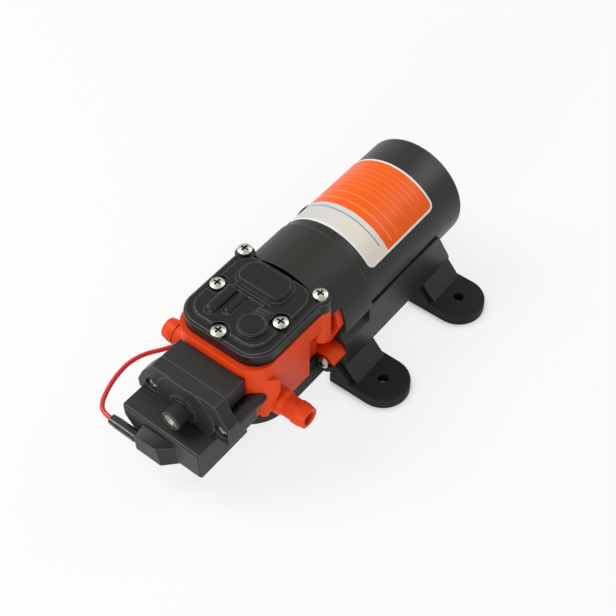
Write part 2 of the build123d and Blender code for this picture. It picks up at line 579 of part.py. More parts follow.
def cover_relief():
    low = FLANGE_TOP_Z
    outline = Pos((D_X0 + D_X1) / 2, (D_Y0 + D_Y1) / 2) * Rectangle(D_X1 - D_X0, D_Y1 - D_Y0)
    outline = fillet(outline.vertices().sort_by(Axis.X)[:2], D_FRONT_R)
    outline = fillet(outline.vertices().sort_by(Axis.X)[-2:], D_REAR_R)
    pad = prism_z(outline, low, PAD_TOP_Z)
    pad = fillet(pad.edges().group_by(Axis.Z)[-1], RIDGE_W)
    relief = pad + prism_z(offset(outline, STEP_W), low, PLATEAU_Z + RIDGE_H)
    for n in (1, 2):
        x = D_X0 - STEP_W - n * RIDGE_STEP
        relief += box(x, x + RIDGE_W, D_Y0 + n * D_FRONT_R / 2, D_Y1 - n * D_FRONT_R / 2, low, PLATEAU_Z + RIDGE_H)
    stop = D_X0 - STEP_W - RIDGE_STEP - RIDGE_STEP
    relief += rod_x(TUBE_R, TUBE_X0, stop, TUBE_Y, TUBE_Z) + Pos(TUBE_X0, TUBE_Y, TUBE_Z) * Sphere(TUBE_R)
    relief += rod_x(THIN_TUBE_R, THIN_TUBE_X0, stop, THIN_TUBE_Y, TUBE_Z)
    relief += Pos(THIN_TUBE_X0, THIN_TUBE_Y, TUBE_Z) * Sphere(THIN_TUBE_R)
    relief += box(DOME_X, stop, DOME_Y - LINK_HALF_W, DOME_Y + LINK_HALF_W, low, PLATEAU_Z + RIDGE_H / 2)
    dome_z = PLATEAU_Z + DOME_RISE
    dome = rod_z(DOME_R, low, dome_z, DOME_X, DOME_Y)
    relief += fillet(dome.edges().group_by(Axis.Z)[-1], RIDGE_W)
    relief -= rod_z(DOME_R - DOME_RIM, dome_z - DISH, dome_z + OVER, DOME_X, DOME_Y)
    for n in (1, 2, 3):
        x = stop - n * RIDGE_STEP
        relief += box(x, x + RIDGE_W, DOME_Y - LINK_HALF_W / 2, DOME_Y - LINK_HALF_W / 2 + SHORT_RIB_LEN, low,
                      PLATEAU_Z + RIDGE_H)
    return relief


def top_cover():
    plan = rounded_plan(COVER_X0, COVER_X1, COVER_HALF_W, COVER_CORNER, SEAM_W)
    slab = prism_z(plan, HEAD_TOP_Z, FLANGE_TOP_Z)
    for side in BOTH:
        slab += rod_z(EAR_R, HEAD_TOP_Z, FLANGE_TOP_Z, EAR_X, side * EAR_Y)
    slab = chamfer(slab.edges().group_by(Axis.Z)[-1], COVER_EDGE)
    raised = rounded_plan(COVER_X0 + PLATEAU_IN, COVER_X1 - COVER_EDGE, COVER_HALF_W - PLATEAU_IN, PLATEAU_CORNER,
                          PLATEAU_CORNER)
    plateau = prism_z(raised, HEAD_TOP_Z, PLATEAU_Z)
    plateau = chamfer(plateau.edges().group_by(Axis.Z)[-1], PLATEAU_EDGE)
    for x, y in COVER_SCREWS:
        plateau -= rod_z(BAY_R, FLANGE_TOP_Z, PLATEAU_Z + OVER, x, y)
    cover = slab + plateau + cover_relief()
    for x, y in COVER_SCREWS:
        cover -= rod_z(SCREW_HEAD_R + GAP, FLANGE_TOP_Z, PAD_TOP_Z + OVER, x, y)
        cover -= rod_z(SCREW_R + GAP, HEAD_TOP_Z - OVER, FLANGE_TOP_Z + OVER, x, y)
    for side in BOTH:
        cover -= cover_cell(side, HEAD_TOP_Z - OVER, CELL_TOP_Z)
    return cover - prism_z(plate_plan(GAP), HEAD_TOP_Z - OVER, HEAD_TOP_Z + SEAL_T)


def cover_seal():
    seal = prism_z(plate_plan(SEAT), HEAD_TOP_Z, HEAD_TOP_Z + SEAL_T)
    for side in BOTH:
        seal -= cover_cell(side, HEAD_TOP_Z - OVER, HEAD_TOP_Z + OVER)
    for x, y in COVER_SCREWS[2:]:
        seal -= rod_z(SCREW_R + GAP, HEAD_TOP_Z - OVER, HEAD_TOP_Z + OVER, x, y)
    return seal


# Pan-head screws with a cross recess
RECESS_W = 0.8
RECESS_HALF = 1.7
RECESS_DEPTH = 1.1
HEAD_CROWN = 0.7
COVER_SCREW_LEN = 18.0
FLANGE_SCREW_LEN = 16.0
SWITCH_SCREW_BITE = 8.6
SWITCH_SCREW_END_X = HEAD_FRONT_X + SWITCH_SCREW_BITE


def screw(length):
    # Head up, underside at the origin
    flat = SCREW_HEAD_R - HEAD_CROWN - HEAD_CROWN
    section = [(0, -length), (SCREW_R - HEAD_CROWN, -length), (SCREW_R, -length + HEAD_CROWN), (SCREW_R, 0),
               (SCREW_HEAD_R, 0), (SCREW_HEAD_R, SCREW_HEAD_H - HEAD_CROWN), (flat, SCREW_HEAD_H), (0, SCREW_HEAD_H)]
    body = turned_z(section, 0, 0)
    low = SCREW_HEAD_H - RECESS_DEPTH
    slot = box(-RECESS_HALF, RECESS_HALF, -RECESS_W / 2, RECESS_W / 2, low, SCREW_HEAD_H + OVER)
    return body - slot - slot.rotate(Axis.Z, 90)


def cover_screws():
    one = screw(COVER_SCREW_LEN)
    return Compound(children=[Pos(x, y, FLANGE_TOP_Z) * one for x, y in COVER_SCREWS])


def flange_screws():
    one = Rot(0, -90, 0) * screw(FLANGE_SCREW_LEN)
    return Compound(children=[Pos(FLANGE_SCREW_X, side * FLANGE_SCREW_Y, FLANGE_SCREW_Z) * one for side in BOTH])


def switch_screws():
    seat_x = PLATE_FACE_X + SCREW_SINK
    one = Rot(0, -90, 0) * screw(SWITCH_SCREW_END_X - seat_x - GAP)
    return Compound(children=[Pos(seat_x, side * SWITCH_SCREW_Y, SWITCH_SCREW_Z) * one for side in BOTH])


# Pressure switch: base against the head, housing in front with its plate, low block, bulge and boss
PLATE_T = 5.8
SCREW_SINK = 3.0
BOSS_LEN = 8.7
BLOCK_RISE = 11.0
BULGE_RISE = 5.4
SWITCH_BACK_X = HEAD_FRONT_X - SEAT
SWITCH_SPLIT_X = SWITCH_BACK_X - SWITCH_BASE_T
PLATE_FACE_X = SWITCH_SPLIT_X - PLATE_T
EAR_REACH = 6.0
HOOD_HALF_W = 15.7
HOOD_TOP_Z = 48.7
HOOD_LOW_Z = 39.6
BOSS_Z = 36.0
DRUM_R = 12.6
BLOCK_RIGHT_Y = -15.1
BLOCK_LEFT_Y = 23.7
BLOCK_TOP_Z = 28.9
BLOCK_LOW_Z = 14.0
BLOCK_FRONT_X = PLATE_FACE_X - BLOCK_RISE
SWITCH_FRONT_X = BLOCK_FRONT_X - BULGE_RISE
BLOCK_KNEE_Z = 23.5
BLOCK_KNEE_Y = 19.8
BLOCK_HIP_Z = 17.4
BLOCK_HIP_Y = 13.6
EAR_TIP_Y = 24.8
EAR_TIP_Z = 33.5
EAR_KNEE_Y = 21.6
EAR_KNEE_Z = 40.5
RIGHT_EAR_Y = -21.3
RIGHT_KNEE_Y = -18.6
RIGHT_KNEE_Z = 42.0
SMALL_BOSS_R = 4.3
BOSS_TIP_X = PLATE_FACE_X - BOSS_LEN
BOSS_RING_R = 6.6
BOSS_RING_T = 0.9
FACE_DISC_R = 14.2
FACE_DISC_T = 0.5
BULGE_Y0 = 0.6
BULGE_Y1 = 13.2
BULGE_TOP_Z = 22.8
BULGE_RIDGE_Y = 2.3
BULGE_RIDGE_Z = 24.6
BULGE_BASE_Y = -4.6
BULGE_BASE_TOP_Z = 24.2
BULGE_LOW_Z = 14.9
SWITCH_EAR_R = 3.6
FILM_R = 9.4
FILM_T = 0.8
CHAMBER_DEPTH = 3.2
PISTON_R = 6.2
PISTON_T = 1.6
PISTON_TRAVEL = 0.6
STEM_R = 1.6
STEM_LEN = 5.0
SPRING_R = 2.9
SPRING_WIRE_R = 0.45
SET_SCREW_R = 3.3
SET_SCREW_LEN = 3.4
HEX_ACROSS = 2.9
ARM_HALF_W = 1.6
ARM_LOW_Z = 18.6
ARM_T = 1.3
SWITCH_EDGE = 0.8
PISTON_FACE_X = SWITCH_SPLIT_X - CONTACT - PISTON_T
SPRING_FRONT_X = BOSS_TIP_X + SET_SCREW_LEN + SEAT


def block_section():
    return [(BLOCK_RIGHT_Y, BLOCK_TOP_Z), (BLOCK_LEFT_Y, BLOCK_TOP_Z), (BLOCK_LEFT_Y, BLOCK_KNEE_Z),
            (BLOCK_KNEE_Y, BLOCK_HIP_Z), (BLOCK_HIP_Y, BLOCK_LOW_Z), (BLOCK_RIGHT_Y, BLOCK_LOW_Z)]


def hood(x0, x1):
    return box(x0, x1, -HOOD_HALF_W, HOOD_HALF_W, HOOD_LOW_Z, HOOD_TOP_Z)


def switch_base():
    base = prism_x(block_section(), SWITCH_SPLIT_X, SWITCH_BACK_X)
    base += hood(SWITCH_SPLIT_X, SWITCH_BACK_X)
    base += rod_x(DRUM_R, SWITCH_SPLIT_X, SWITCH_BACK_X, 0, BOSS_Z)
    for side in BOTH:
        y = side * SWITCH_SCREW_Y
        lobe = rod_x(SWITCH_EAR_R, SWITCH_SPLIT_X, SWITCH_BACK_X + EAR_REACH, y, SWITCH_SCREW_Z)
        base += lobe - Pos(-SEAT, 0, 0) * head_blank()
        base += box(SWITCH_SPLIT_X, SWITCH_BACK_X, 0, y + side * SWITCH_EAR_R, BLOCK_TOP_Z - GAP, SWITCH_SCREW_Z)
        base -= rod_x(SCREW_R + GAP, SWITCH_SPLIT_X - OVER, SWITCH_BACK_X + EAR_REACH, y, SWITCH_SCREW_Z)
    base -= rod_x(FILM_R - OVER, SWITCH_SPLIT_X - OVER, SWITCH_SPLIT_X + CHAMBER_DEPTH, 0, BOSS_Z)
    base -= rod_x(FILM_R + GAP, SWITCH_SPLIT_X - OVER, SWITCH_SPLIT_X + FILM_T, 0, BOSS_Z)
    return base - rod_x(TAP_R, SWITCH_SPLIT_X, SWITCH_BACK_X + OVER, 0, TAP_Z)


def switch_housing():
    split = SWITCH_SPLIT_X - GAP
    plate = [(-HOOD_HALF_W, HOOD_TOP_Z), (HOOD_HALF_W, HOOD_TOP_Z), (EAR_KNEE_Y, EAR_KNEE_Z),
             (EAR_TIP_Y, EAR_TIP_Z), (EAR_TIP_Y, BLOCK_TOP_Z - GAP), (RIGHT_EAR_Y, BLOCK_TOP_Z - GAP),
             (RIGHT_EAR_Y, RIGHT_KNEE_Z - SWITCH_EAR_R), (RIGHT_KNEE_Y, RIGHT_KNEE_Z)]
    body = prism_x(plate, PLATE_FACE_X, split)
    block = prism_x(block_section(), BLOCK_FRONT_X, split)
    body += chamfer(block.faces().sort_by(Axis.X)[0].edges(), SWITCH_EDGE)
    foot = [(BLOCK_HIP_Y, BULGE_BASE_TOP_Z), (BLOCK_HIP_Y, BLOCK_LOW_Z), (BULGE_BASE_Y, BLOCK_LOW_Z),
            (BULGE_BASE_Y, BULGE_BASE_TOP_Z)]
    nose = [(BULGE_Y1, BULGE_TOP_Z), (BULGE_Y1, BULGE_LOW_Z), (BULGE_Y0, BULGE_LOW_Z),
            (BULGE_RIDGE_Y, BULGE_RIDGE_Z)]
    low = Plane.YZ.offset(BLOCK_FRONT_X + SWITCH_EDGE) * Polygon(*foot, align=None)
    high = Plane.YZ.offset(SWITCH_FRONT_X) * Polygon(*nose, align=None)
    body += loft([high, low], ruled=True)
    disc = rod_x(FACE_DISC_R, PLATE_FACE_X - FACE_DISC_T, PLATE_FACE_X, 0, BOSS_Z)
    body += disc & box(PLATE_FACE_X - FACE_DISC_T, PLATE_FACE_X, -FACE_DISC_R, FACE_DISC_R, BLOCK_TOP_Z, HOOD_TOP_Z)
    body += rod_x(BOSS_RING_R, PLATE_FACE_X - FACE_DISC_T - BOSS_RING_T, PLATE_FACE_X, 0, BOSS_Z) & box(
        PLATE_FACE_X - SMALL_BOSS_R, PLATE_FACE_X, -BOSS_RING_R, BOSS_RING_R, BLOCK_TOP_Z, HOOD_TOP_Z)
    boss = rod_x(SMALL_BOSS_R, BOSS_TIP_X, PLATE_FACE_X, 0, BOSS_Z)
    body += chamfer(boss.edges().filter_by(GeomType.CIRCLE).sort_by(Axis.X)[:1], SWITCH_EDGE / 2)
    stop_x = PISTON_FACE_X - PISTON_TRAVEL - SEAT
    body -= rod_x(SPRING_R + SPRING_WIRE_R + GAP, SPRING_FRONT_X - SEAT, split + OVER, 0, BOSS_Z)
    body -= rod_x(PISTON_R + SEAT, stop_x, split + OVER, 0, BOSS_Z)
    body -= rod_x(SET_SCREW_R, BOSS_TIP_X - OVER, SPRING_FRONT_X, 0, BOSS_Z)
    body -= box(MICRO_X0 - SEAT, split + OVER, MICRO_Y0 - SEAT, MICRO_Y1 + SEAT, MICRO_Z0 - SEAT, MICRO_Z1 + SEAT)
    body -= box(stop_x, split + OVER, -ARM_HALF_W - SEAT, BUTTON_Y + ARM_HALF_W + SEAT, MICRO_Z0, BOSS_Z)
    for x in TERMINAL_XS:
        body -= box(x - BLADE_W / 2 - SEAT, x + BLADE_W / 2 + SEAT, MICRO_Y1 - OVER, BLOCK_LEFT_Y + OVER,
                    BLADE_Z - BLADE_T, BLADE_Z + BLADE_T)
    for side in BOTH:
        y = side * SWITCH_SCREW_Y
        body -= rod_x(SCREW_R + GAP, PLATE_FACE_X - OVER, split + OVER, y, SWITCH_SCREW_Z)
        body -= rod_x(SCREW_HEAD_R + SEAT, PLATE_FACE_X - OVER, PLATE_FACE_X + SCREW_SINK, y, SWITCH_SCREW_Z)
    return body


def switch_film():
    return rod_x(FILM_R, SWITCH_SPLIT_X + CONTACT, SWITCH_SPLIT_X + FILM_T, 0, BOSS_Z)


def switch_plunger():
    face = PISTON_FACE_X
    piston = rod_x(PISTON_R, face, face + PISTON_T, 0, BOSS_Z)
    piston += rod_x(STEM_R, face - STEM_LEN, face, 0, BOSS_Z)
    return piston + box(face, face + ARM_T, -ARM_HALF_W, BUTTON_Y + ARM_HALF_W, ARM_LOW_Z, BOSS_Z)


def switch_spring():
    # Hidden coil, kept to the sleeve of space that its turns fill
    back = PISTON_FACE_X - CONTACT
    sleeve = rod_x(SPRING_R + SPRING_WIRE_R, SPRING_FRONT_X, back, 0, BOSS_Z)
    return sleeve - rod_x(SPRING_R - SPRING_WIRE_R, SPRING_FRONT_X, back, 0, BOSS_Z)


def adjusting_screw():
    front = BOSS_TIP_X + SEAT
    body = rod_x(SET_SCREW_R - RUN, front, front + SET_SCREW_LEN - SEAT, 0, BOSS_Z)
    body = chamfer(body.edges().filter_by(GeomType.CIRCLE), SEAT)
    hexagon = Plane.YZ.offset(front - OVER) * Pos(0, BOSS_Z) * RegularPolygon(HEX_ACROSS / 2, 6, major_radius=False)
    return body - extrude(hexagon, OVER + SET_SCREW_LEN / 2)


# Microswitch in the low block, its button, and two blades that leave on the left
MICRO_BACK = 6.1
MICRO_LEN = 14.8
MICRO_X1 = SWITCH_SPLIT_X - MICRO_BACK
MICRO_X0 = MICRO_X1 - MICRO_LEN
MICRO_Y0 = 1.8
MICRO_Y1 = 12.0
MICRO_Z0 = 15.7
MICRO_Z1 = 21.3
BUTTON_Y = 4.4
BUTTON_R = 1.1
BUTTON_Z = 19.8
BLADE_W = 2.8
BLADE_T = 0.5
BLADE_Z = 18.0
BLADE_END_Y = 20.4
FRONT_BLADE_IN = 1.5
REAR_BLADE_IN = 4.2
SLEEVE_X = MICRO_X0 + FRONT_BLADE_IN
TERMINAL_XS = (SLEEVE_X, MICRO_X1 - REAR_BLADE_IN)
MICRO_RIB = 0.5


def microswitch():
    case = box(MICRO_X0, MICRO_X1, MICRO_Y0, MICRO_Y1, MICRO_Z0, MICRO_Z1)
    case = chamfer(case.edges().filter_by(Axis.Z), MICRO_RIB)
    case -= rod_x(BUTTON_R + RUN, MICRO_X1 - PISTON_T - PISTON_T, MICRO_X1 + OVER, BUTTON_Y, BUTTON_Z)
    for y in (MICRO_Y0 + BLADE_W, MICRO_Y1 - BLADE_W / 2):
        case -= rod_z(BUTTON_R, MICRO_Z0 - OVER, MICRO_Z1 + OVER, MICRO_X0 + BLADE_W / 2, y)
    return case


def microswitch_button():
    return rod_x(BUTTON_R, MICRO_X1 - PISTON_T, PISTON_FACE_X - CONTACT, BUTTON_Y, BUTTON_Z)


def switch_terminals():
    blades = []
    for x in TERMINAL_XS:
        blade = box(x - BLADE_W / 2, x + BLADE_W / 2, MICRO_Y1 + CONTACT, BLADE_END_Y, BLADE_Z - BLADE_T / 2,
                    BLADE_Z + BLADE_T / 2)
        blade -= rod_z(BLADE_T, MICRO_Z0, MICRO_Z1, x, BLADE_END_Y - BLADE_T - BLADE_T)
        blades.append(blade)
    return Compound(children=blades)


# Sleeve on the front blade: shrunk flat tube, crimped in before the lead
SLEEVE_Y0 = 15.0
SLEEVE_Y1 = 28.6
SLEEVE_W = 4.6
SLEEVE_H = 3.8
SLEEVE_CORNER = 1.5
SLEEVE_DRAW = 0.6


def spade_sleeve():
    mouth = Pos(SLEEVE_X, BLADE_Z) * RectangleRounded(SLEEVE_W, SLEEVE_H, SLEEVE_CORNER)
    neck = Pos(SLEEVE_X, BLADE_Z) * RectangleRounded(SLEEVE_W - SLEEVE_DRAW, SLEEVE_H - SLEEVE_DRAW,
                                                     SLEEVE_CORNER - SLEEVE_DRAW / 2)
    waist = SLEEVE_Y1 - SLEEVE_H
    sheet = Plane(origin=(0, SLEEVE_Y0, 0), x_dir=(1, 0, 0), z_dir=(0, -1, 0))
    last = Plane(origin=(0, SLEEVE_Y1, 0), x_dir=(1, 0, 0), z_dir=(0, -1, 0))
    mid = Plane(origin=(0, waist, 0), x_dir=(1, 0, 0), z_dir=(0, -1, 0))
    tube = extrude(sheet * mouth, SLEEVE_Y0 - waist) + loft([mid * mouth, last * neck])
    hollow = box(TERMINAL_XS[0] - BLADE_W / 2 - GAP, TERMINAL_XS[0] + BLADE_W / 2 + GAP, SLEEVE_Y0 - OVER,
                 BLADE_END_Y + SEAT, BLADE_Z - BLADE_T / 2 - GAP, BLADE_Z + BLADE_T / 2 + GAP)
    return tube - hollow


# Red lead from the sleeve round the left side to the outlet on the motor can
LEAD_ROUTE = [
    (SLEEVE_X, SLEEVE_Y1, BLADE_Z), (SLEEVE_X, 33.3, BLADE_Z), (-76.6, 37.2, 17.6), (-70.4, 40.0, 17.8),
    (-63.2, 41.8, 18.1), (-55.8, 42.2, 18.4), (-48.6, 40.3, 18.2), (-41.8, 35.9, 17.6), (-33.6, 31.6, 17.4),
    (-23.6, 29.4, 19.0), (-12.6, 29.0, 22.4), (-2.0, 28.9, 26.8), (7.4, 28.6, 31.6),
    (16.4, OUTLET_Y, OUTLET_Z), (OUTLET_X, OUTLET_Y, OUTLET_Z),
]


def lead_radii():
    points = [Vector(*p) for p in LEAD_ROUTE]
    radii = []
    for before, here, after in zip(points, points[1:], points[2:]):
        a, b = here - before, after - here
        half = math.radians(a.get_angle(b)) / 2
        radii.append(0.45 * min(a.length, b.length) / math.tan(half))
    print("lead radii", [round(r, 1) for r in radii])
    return radii


def red_lead():
    path = FilletPolyline(*LEAD_ROUTE, radius=lead_radii())
    tube = sweep(Plane(origin=path @ 0, z_dir=path % 0) * Circle(LEAD_R), path)
    share = tube.volume / (math.pi * LEAD_R * LEAD_R * path.length)
    print("lead length", round(path.length, 2), "volume over section times length", round(share, 5))
    return tube


def lead_outlet():
    # Barrel-shaped boot on the can's far side, where the lead goes in
    x0, x1 = OUTLET_X, OUTLET_X + OUTLET_LEN
    frame = Plane(origin=(0, OUTLET_Y, OUTLET_Z), x_dir=(1, 0, 0), z_dir=(0, -1, 0))
    crown = ThreePointArc((x0, OUTLET_END_R), ((x0 + x1) / 2, OUTLET_R), (x1, OUTLET_END_R))
    sides = Polyline((x1, OUTLET_END_R), (x1, 0), (x0, 0), (x0, OUTLET_END_R))
    boot = revolve(frame * make_face([crown, sides]), Axis((0, OUTLET_Y, OUTLET_Z), (1, 0, 0)), 360)
    boot += box(x0, x1, OUTLET_Y - OUTLET_R, OUTLET_Y, OUTLET_Z - OUTLET_END_R, OUTLET_Z + OUTLET_END_R)
    return boot - rod_x(CAN_R + CONTACT, 0, REAR_X, 0, AXIS_Z)


# Motor insides: end plate, bearing, bush, magnets, armature, commutator and brushes
MAGNET_IN_R = 17.4
MAGNET_X0 = 33.0
MAGNET_X1 = 69.0
MAGNET_HALF_ANGLE = 68.0
CORE_R = 16.9
CORE_X0 = 35.0
CORE_X1 = 67.0
CORE_SLOTS = 8
SLOT_IN_R = 8.0
SLOT_OUT_R = 14.6
SLOT_W = 4.4
MOUTH_W = 1.4
WINDING_OVERHANG = 4.0
WINDING_R = 14.0
COMM_X0 = 20.4
COMM_X1 = 29.6
COMM_R = 6.0
COMM_BARS = 8
COMM_SLIT = 0.5
CARD_X = 19.4
CARD_T = 1.6
CARD_HOLE_R = 8.2
BRUSH_W = 4.0
BRUSH_H = 3.6
BRUSH_LEN = 6.5
BRUSH_X = 25.0
HOLDER_OUT_Y = 19.5
HOLDER_IN_Y = 8.4
HOLDER_WALL = 0.8
PLATE_HOLE_R = 4.0
HUB_X0 = -27.0
HUB_LEN = 6.0
HUB_R = 6.0
PIN_R = 3.0


def motor_end_plate():
    x0 = JOINT_X + SHROUD_LEN - END_PLATE_T
    plate = rod_x(CAN_IN_R - GAP, x0 + GAP, x0 + END_PLATE_T, 0, AXIS_Z)
    plate -= rod_x(PLATE_HOLE_R, x0 - OVER, x0 + END_PLATE_T + OVER, 0, AXIS_Z)
    for spot in PolarLocations(CAN_IN_R - BEARING_R, 4):
        hole = Plane.YZ.offset(x0) * spot * Circle(END_PLATE_T)
        plate -= extrude(hole, END_PLATE_T + OVER)
    return plate


def bearing_ring(outer, inner, x0, width, z):
    # Two races and the shield between them, one closed ring
    third = (outer - inner) / 3
    dip = width / 10
    return turned_x([(x0, inner), (x0, inner + third), (x0 + dip, inner + third), (x0 + dip, outer - third),
                     (x0, outer - third), (x0, outer), (x0 + width, outer), (x0 + width, outer - third),
                     (x0 + width - dip, outer - third), (x0 + width - dip, inner + third),
                     (x0 + width, inner + third), (x0 + width, inner)], 0, z)


def rear_bush():
    x1 = REAR_WALL_X - END_RING_DEPTH - GAP
    ring = [(x1 - BUSH_LEN, SHAFT_R + RUN), (x1, SHAFT_R + RUN), (x1, BUSH_R - CONTACT), (x1 - BUSH_LEN, BUSH_R - CONTACT)]
    return turned_x(ring)


def magnets():
    axis = Axis((0, 0, AXIS_Z), (1, 0, 0))
    frame = Plane(origin=(0, 0, AXIS_Z), x_dir=(1, 0, 0), z_dir=(0, -1, 0))
    out = CAN_IN_R - GAP
    strip = [(MAGNET_X0, MAGNET_IN_R), (MAGNET_X1, MAGNET_IN_R), (MAGNET_X1, out), (MAGNET_X0, out)]
    shell = revolve(frame * Polygon(*strip, align=None), axis, MAGNET_HALF_ANGLE + MAGNET_HALF_ANGLE)
    return Compound(children=[shell.rotate(axis, turn - MAGNET_HALF_ANGLE) for turn in (0, 180)])


def slot_plan(slack):
    inner, outer = SLOT_IN_R + slack, SLOT_OUT_R - slack
    half = SLOT_W / 2 - slack
    return Polygon((inner, -half / 2), (outer, -half), (outer, half), (inner, half / 2), align=None)


def armature_core():
    core = rod_x(CORE_R, CORE_X0, CORE_X1, 0, AXIS_Z) - rod_x(SHAFT_R, 0, REAR_X, 0, AXIS_Z)
    for n in range(CORE_SLOTS):
        turn = Rot(0, 0, n * 360 / CORE_SLOTS)
        place = Plane.YZ.offset(CORE_X0 - OVER) * Pos(0, AXIS_Z) * turn
        core -= extrude(place * slot_plan(0), CORE_X1 - CORE_X0 + OVER + OVER)
        mouth = place * Pos((SLOT_OUT_R + CORE_R) / 2, 0) * Rectangle(CORE_R, MOUTH_W)
        mouth_cut = extrude(mouth, CORE_X1 - CORE_X0 + OVER + OVER)
        core -= mouth_cut - rod_x(SLOT_OUT_R - OVER, 0, REAR_X, 0, AXIS_Z)
    return core


def armature_winding():
    # Hidden copper: bars in the slots joined by a bundle at each end
    out = CORE_X1 + WINDING_OVERHANG
    first = CORE_X0 - WINDING_OVERHANG
    winding = None
    for x0, x1 in ((first, CORE_X0 - CONTACT), (CORE_X1 + CONTACT, out)):
        ring = rod_x(WINDING_R, x0, x1, 0, AXIS_Z) - rod_x(SLOT_IN_R, x0 - OVER, x1 + OVER, 0, AXIS_Z)
        winding = ring if winding is None else winding + ring
    for n in range(CORE_SLOTS):
        place = Plane.YZ.offset(CORE_X0 - OVER) * Pos(0, AXIS_Z) * Rot(0, 0, n * 360 / CORE_SLOTS)
        winding += extrude(place * slot_plan(GAP), CORE_X1 - CORE_X0 + OVER + OVER)
    return winding


def commutator():
    drum = rod_x(COMM_R, COMM_X0, COMM_X1, 0, AXIS_Z) - rod_x(SHAFT_R, 0, REAR_X, 0, AXIS_Z)
    for n in range(COMM_BARS):
        place = Plane.YZ.offset(COMM_X0 - OVER) * Pos(0, AXIS_Z) * Rot(0, 0, (n + 0.5) * 360 / COMM_BARS)
        slit = extrude(place * Pos(COMM_R, 0) * Rectangle(COMM_SLIT + COMM_SLIT, COMM_SLIT), COMM_X1)
        drum -= slit
    return drum


def motor_shaft():
    x1 = REAR_WALL_X - END_RING_DEPTH - SEAT
    return chamfer(rod_x(SHAFT_R, HUB_X0, x1, 0, AXIS_Z).edges().filter_by(GeomType.CIRCLE), SEAT)


def brush_card():
    card = rod_x(CAN_IN_R - GAP, CARD_X, CARD_X + CARD_T, 0, AXIS_Z)
    card -= rod_x(CARD_HOLE_R, CARD_X - OVER, CARD_X + CARD_T + OVER, 0, AXIS_Z)
    for side in BOTH:
        tube = box(CARD_X, BRUSH_X + BRUSH_W / 2 + HOLDER_WALL, side * HOLDER_IN_Y, side * HOLDER_OUT_Y,
                   AXIS_Z - BRUSH_H / 2 - HOLDER_WALL, AXIS_Z + BRUSH_H / 2 + HOLDER_WALL)
        card += tube - box(BRUSH_X - BRUSH_W / 2 - GAP, BRUSH_X + BRUSH_W / 2 + GAP, 0,
                           side * (HOLDER_OUT_Y - HOLDER_WALL), AXIS_Z - BRUSH_H / 2 - GAP, AXIS_Z + BRUSH_H / 2 + GAP)
    return card


def brushes():
    tip = COMM_R + RUN
    blocks = [box(BRUSH_X - BRUSH_W / 2, BRUSH_X + BRUSH_W / 2, side * tip, side * (tip + BRUSH_LEN),
                  AXIS_Z - BRUSH_H / 2, AXIS_Z + BRUSH_H / 2) for side in BOTH]
    return Compound(children=blocks)


def brush_springs():
    tip = COMM_R + RUN + BRUSH_LEN + CONTACT
    end = HOLDER_OUT_Y - HOLDER_WALL - CONTACT
    wire = BRUSH_H / 2 - SPRING_WIRE_R
    tubes = [rod_y(BRUSH_H / 2, side * tip, side * end, BRUSH_X, AXIS_Z) -
             rod_y(wire, side * tip, side * end, BRUSH_X, AXIS_Z) for side in BOTH]
    return Compound(children=tubes)


def eccentric():
    hub = rod_x(HUB_R, HUB_X0 - GAP, HUB_X0 + HUB_LEN, 0, AXIS_Z)
    hub -= rod_x(SHAFT_R + CONTACT, HUB_X0, HUB_X0 + HUB_LEN + OVER, 0, AXIS_Z)
    pin = rod_x(PIN_R, CRANK_X - ROD_W / 2 - SEAT, HUB_X0, 0, ROD_LOW_Z)
    return hub + pin + rod_x(PIN_R + SEAT, CRANK_X + ROD_W / 2 + CONTACT, HUB_X0, 0, ROD_LOW_Z)


# Every piece, by node name
write("motor_can", motor_can())
write("motor_label", motor_label())
write("motor_base", motor_base())
write("rubber_feet", rubber_feet())
write("crankcase", crankcase())
write("pump_body", pump_body())
write("diaphragm", diaphragm())
write("connecting_rod", connecting_rod())
write("rod_bearing", bearing_ring(ROD_BEARING_R - CONTACT, PIN_R + RUN, CRANK_X - ROD_W / 2, ROD_W, ROD_LOW_Z))
write("clamp_disc", clamp_disc())
write("clamp_screw", clamp_screw())
write("valve_plate", valve_plate())
write("inlet_valve", flap_valve(RECESS_Z - CONTACT, -1, 1))
write("outlet_valve", flap_valve(HEAD_TOP_Z + CONTACT, 1, -1))
write("cover_seal", cover_seal())
write("top_cover", top_cover())
write("cover_screws", cover_screws())
write("flange_screws", flange_screws())
write("switch_base", switch_base())
write("switch_housing", switch_housing())
write("switch_film", switch_film())
write("switch_plunger", switch_plunger())
write("switch_spring", switch_spring())
write("adjusting_screw", adjusting_screw())
write("switch_screws", switch_screws())
write("microswitch", microswitch())
write("microswitch_button", microswitch_button())
write("switch_terminals", switch_terminals())
write("spade_sleeve", spade_sleeve())
write("red_lead", red_lead())
write("lead_outlet", lead_outlet())
write("motor_end_plate", motor_end_plate())
write("front_bearing", bearing_ring(BEARING_R - CONTACT, SHAFT_R + RUN, BEARING_X, BEARING_W, AXIS_Z))
write("rear_bush", rear_bush())
write("magnets", magnets())
write("armature_core", armature_core())
write("armature_winding", armature_winding())
write("commutator", commutator())
write("motor_shaft", motor_shaft())
write("brush_card", brush_card())
write("brushes", brushes())
write("brush_springs", brush_springs())
write("eccentric", eccentric())
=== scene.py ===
import math
import bpy
from mathutils import Matrix, Vector


